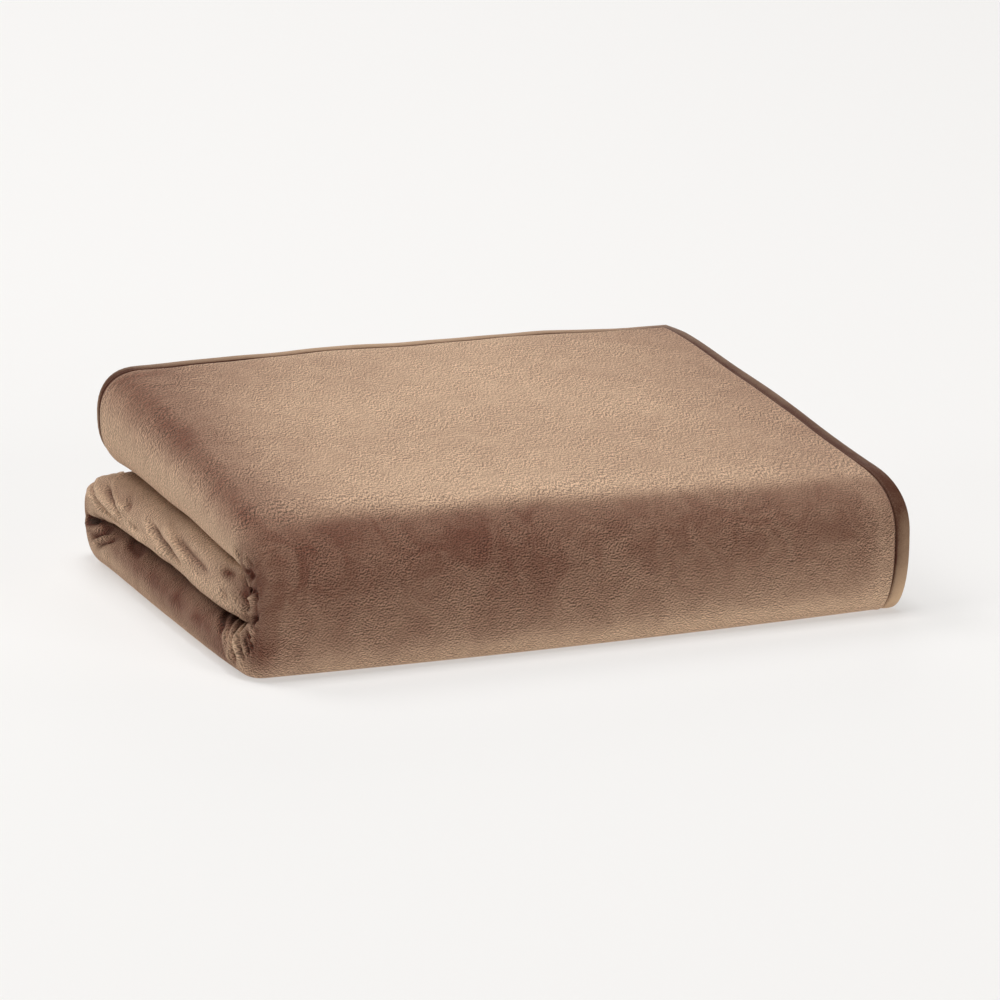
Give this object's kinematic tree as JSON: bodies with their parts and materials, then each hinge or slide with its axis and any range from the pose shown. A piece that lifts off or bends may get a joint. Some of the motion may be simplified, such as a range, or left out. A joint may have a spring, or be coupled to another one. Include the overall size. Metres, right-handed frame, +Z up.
{
  "type": "plush blanket",
  "caption": "Thick plush blanket with bound edges, folded into a soft rectangular bundle that lies on its flat base.",
  "frame": {"origin": "middle of the bundle's box, on the surface that it rests on", "axes": "+X along the front fold towards the hemmed ends, +Y from the front fold to the back hem, +Z up"},
  "size_m": [0.4726, 0.3662, 0.1371],
  "materials": {
    "plush": "short, lofty brown plush, light at grazing angles",
    "binding": "smooth woven tape in a darker brown, with a soft satin gloss"
  },
  "bodies": {
    "root": {"blanket_cloth": "plush", "edge_binding": "binding"}
  },
  "joints": []
}
